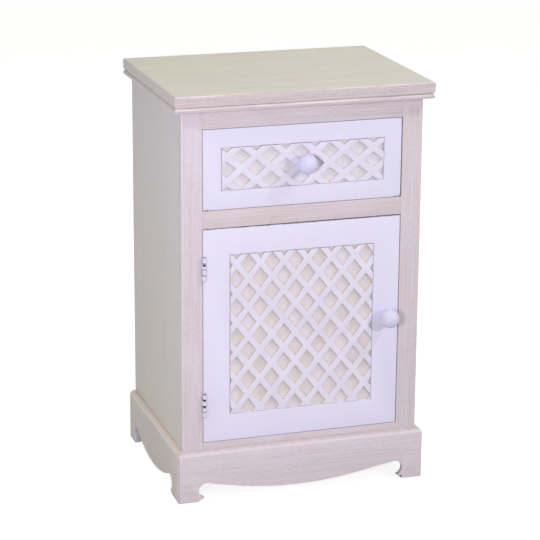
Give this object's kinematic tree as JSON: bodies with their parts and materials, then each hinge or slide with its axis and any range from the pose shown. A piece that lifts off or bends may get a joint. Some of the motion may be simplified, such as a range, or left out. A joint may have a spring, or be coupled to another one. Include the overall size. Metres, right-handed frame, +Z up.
{
  "type": "nightstand",
  "caption": "Bedside cabinet in whitewashed wood with a white lattice-fronted drawer above a white lattice door, ball knobs, butt hinges and a scalloped bracket-foot plinth.",
  "frame": {"origin": "on the floor, at the centre of the part's bounding box from knob tip to back", "axes": "+X to the right of someone facing the front, -Y out of the front, +Z up"},
  "size_m": [0.42, 0.339, 0.66],
  "materials": {
    "whitewashed_wood": "brushed whitewash over pale wood, matt",
    "white_paint": "white satin paint on board",
    "washed_backing": "thin whitewash over pale veneer, matt",
    "bare_wood": "bare planed pale softwood",
    "plywood": "bare thin plywood",
    "painted_steel": "white paint over steel, worn at the joints",
    "steel": "zinc-plated steel",
    "white_plastic": "moulded plastic",
    "ferrite": "dark ferrite block",
    "black_plastic": "black plastic glide"
  },
  "bodies": {
    "carcass": {"top_board": "whitewashed_wood", "left_side_panel": "whitewashed_wood", "right_side_panel": "whitewashed_wood", "left_stile": "whitewashed_wood", "right_stile": "whitewashed_wood", "top_rail": "whitewashed_wood", "mid_rail": "whitewashed_wood", "bottom_rail": "whitewashed_wood", "plinth_front": "whitewashed_wood", "plinth_left": "whitewashed_wood", "plinth_right": "whitewashed_wood", "floor_panel": "bare_wood", "rear_top_rail": "bare_wood", "rear_bottom_rail": "bare_wood", "top_cleats": "bare_wood", "floor_cleats": "bare_wood", "left_drawer_runner": "bare_wood", "right_drawer_runner": "bare_wood", "drawer_stops": "bare_wood", "corner_blocks": "bare_wood", "frame_dowels": "bare_wood", "back_panel": "plywood", "foot_glides": "black_plastic", "back_panel_nails": "steel", "top_screws": "steel", "runner_screws": "steel", "upper_hinge_pin": "steel", "lower_hinge_pin": "steel", "hinge_frame_screws": "steel", "catch_pole_plates": "steel", "catch_screws": "steel", "upper_hinge_frame_leaf": "painted_steel", "lower_hinge_frame_leaf": "painted_steel", "catch_body": "white_plastic", "catch_magnet": "ferrite"},
    "door": {"door_frame": "white_paint", "door_lattice": "white_paint", "door_knob": "white_paint", "door_backing": "washed_backing", "door_panel_beads": "bare_wood", "upper_hinge_door_leaf": "painted_steel", "lower_hinge_door_leaf": "painted_steel", "door_knob_screw": "steel", "hinge_door_screws": "steel", "strike_plate": "steel", "strike_screw": "steel"},
    "drawer": {"drawer_front_frame": "white_paint", "drawer_lattice": "white_paint", "drawer_knob": "white_paint", "drawer_backing": "washed_backing", "drawer_panel_beads": "bare_wood", "drawer_left_side": "bare_wood", "drawer_right_side": "bare_wood", "drawer_back": "bare_wood", "drawer_dowels": "bare_wood", "drawer_bottom": "plywood", "drawer_knob_screw": "steel", "drawer_back_screws": "steel"}
  },
  "joints": [
    {"name": "door_hinge", "type": "hinge", "parent": "carcass", "child": "door", "pos_m": [-0.1608, -0.1378, 0.27225], "axis": [0, 0, -1], "range_deg": [0, 175]},
    {"name": "drawer_slide", "type": "slide", "parent": "carcass", "child": "drawer", "axis": [0, -1, 0], "range_m": [0, 0.2]}
  ]
}
